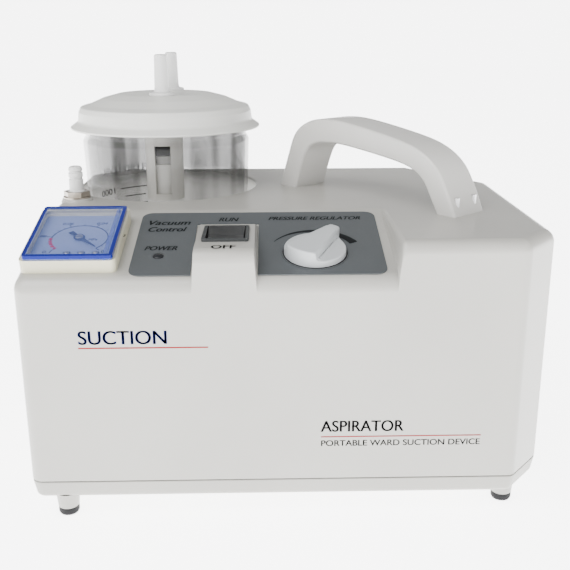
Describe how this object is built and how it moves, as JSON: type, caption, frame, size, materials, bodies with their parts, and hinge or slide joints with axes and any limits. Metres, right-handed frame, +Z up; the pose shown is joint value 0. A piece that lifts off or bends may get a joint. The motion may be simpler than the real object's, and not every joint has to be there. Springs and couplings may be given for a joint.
{
  "type": "portable suction pump",
  "caption": "Portable suction unit: moulded housing on feet, lift-out collection jar with ported lid and float valve, vacuum gauge, regulator knob, power switch, fixed carry handle.",
  "frame": {"origin": "floor level under the middle of the body", "axes": "+Z up, -Y towards the user's side with the control slope, +X to the user's right"},
  "size_m": [0.28, 0.23, 0.2395],
  "materials": {
    "housing_white": "semi-gloss moulded",
    "tray_white": "satin moulded",
    "handle_white": "semi-gloss moulded",
    "rubber_black": "matt",
    "screw_steel": "plated",
    "panel_grey": "printed film",
    "lamp_dark": "clear moulded",
    "switch_grey": "fine grain",
    "switch_black": "fine grain",
    "knob_pale": "fine grain",
    "brass": "machined",
    "gauge_cream": "moulded",
    "dial_blue": "printed",
    "cover_blue": "clear tinted",
    "pointer_black": "matt",
    "jar_clear": "clear moulded",
    "lid_white": "moulded",
    "port_white": "moulded",
    "float_white": "moulded",
    "ring_grey": "moulded",
    "nickel": "plated",
    "cast_alloy": "cast",
    "bright_steel": "ground",
    "plate_steel": "zinc plated",
    "stator_steel": "laminated",
    "copper": "enamelled wire",
    "fan_black": "moulded",
    "hose_clear": "silicone",
    "black_plastic": "moulded"
  },
  "bodies": {
    "housing": {"upper_housing": "housing_white", "base_tray": "tray_white", "foot_pads": "rubber_black", "housing_screws": "screw_steel", "carry_handle": "handle_white", "handle_screws": "screw_steel", "control_panel": "panel_grey", "power_lamp": "lamp_dark", "switch_bezel": "switch_grey", "switch_body": "black_plastic", "regulator_body": "brass", "gauge_base": "gauge_cream", "gauge_dial": "dial_blue", "gauge_cover": "cover_blue", "gauge_screws": "screw_steel", "gauge_stem": "brass", "gauge_movement": "cast_alloy", "jar_cushion": "rubber_black", "vacuum_nozzle": "port_white", "nozzle_nut": "nickel", "pump_plate": "plate_steel", "pump_isolators": "rubber_black", "crankcase": "cast_alloy", "pump_cylinder": "cast_alloy", "valve_plate": "bright_steel", "cylinder_head": "cast_alloy", "motor_stator": "stator_steel", "motor_windings": "copper", "motor_end_bell": "cast_alloy", "exhaust_silencer": "black_plastic", "vacuum_manifold": "black_plastic", "nozzle_hose": "hose_clear", "gauge_hose": "hose_clear", "regulator_hose": "hose_clear", "pump_hose": "hose_clear", "exhaust_hose": "hose_clear", "wiring_loom": "black_plastic", "mains_inlet": "black_plastic", "inlet_pins": "nickel", "fuse_holder": "black_plastic"},
    "switch_rocker": {"switch_rocker": "switch_black"},
    "regulator_knob": {"regulator_knob": "knob_pale", "regulator_spindle": "bright_steel"},
    "gauge_pointer": {"gauge_pointer": "pointer_black"},
    "jar": {"collection_jar": "jar_clear"},
    "lid": {"jar_lid": "lid_white", "lid_seal": "rubber_black", "lid_vacuum_port": "port_white", "lid_patient_port": "port_white", "float_cage": "port_white"},
    "float": {"float_body": "float_white", "float_ring": "ring_grey", "float_seal": "rubber_black"},
    "rotor": {"motor_rotor": "bright_steel", "cooling_fan": "fan_black"},
    "connecting_rod": {"connecting_rod": "cast_alloy"},
    "piston": {"piston": "bright_steel", "wrist_pin": "bright_steel"},
    "fuse_cap": {"fuse_cap": "black_plastic"}
  },
  "joints": [
    {"name": "switch_tilt", "type": "hinge", "parent": "housing", "child": "switch_rocker", "pos_m": [-0.03325, -0.0815, 0.1475], "axis": [-1, 0, 0], "range_deg": [0, 20]},
    {"name": "knob_turn", "type": "hinge", "parent": "housing", "child": "regulator_knob", "pos_m": [0.0138, -0.08832, 0.14137], "axis": [0, -0.2425, 0.9701], "range_deg": [-20, 88]},
    {"name": "pointer_sweep", "type": "hinge", "parent": "housing", "child": "gauge_pointer", "pos_m": [-0.111, -0.08027, 0.14338], "axis": [0, -0.2425, 0.9701], "range_deg": [0, 272]},
    {"name": "jar_lift", "type": "slide", "parent": "housing", "child": "jar", "axis": [0, 0, 1], "range_m": [0, 0.14]},
    {"name": "lid_lift", "type": "slide", "parent": "jar", "child": "lid", "axis": [0, 0, 1], "range_m": [0, 0.06]},
    {"name": "float_rise", "type": "slide", "parent": "lid", "child": "float", "axis": [0, 0, 1], "range_m": [0, 0.015]},
    {"name": "rotor_spin", "type": "hinge", "parent": "housing", "child": "rotor", "pos_m": [0.062, 0, 0.066], "axis": [0, 1, 0], "continuous": true},
    {"name": "rod_swing", "type": "hinge", "parent": "rotor", "child": "connecting_rod", "pos_m": [0.0645, -0.04, 0.066], "axis": [0, 1, 0], "continuous": true},
    {"name": "piston_stroke", "type": "slide", "parent": "housing", "child": "piston", "axis": [0, 0, 1], "range_m": [-0.0025, 0.0025]},
    {"name": "fuse_pull", "type": "slide", "parent": "housing", "child": "fuse_cap", "axis": [0, 1, 0], "range_m": [0, 0.02]}
  ],
  "couplings": [
    {"joint": "rod_swing", "follows": "rotor_spin", "ratio": -1}
  ]
}
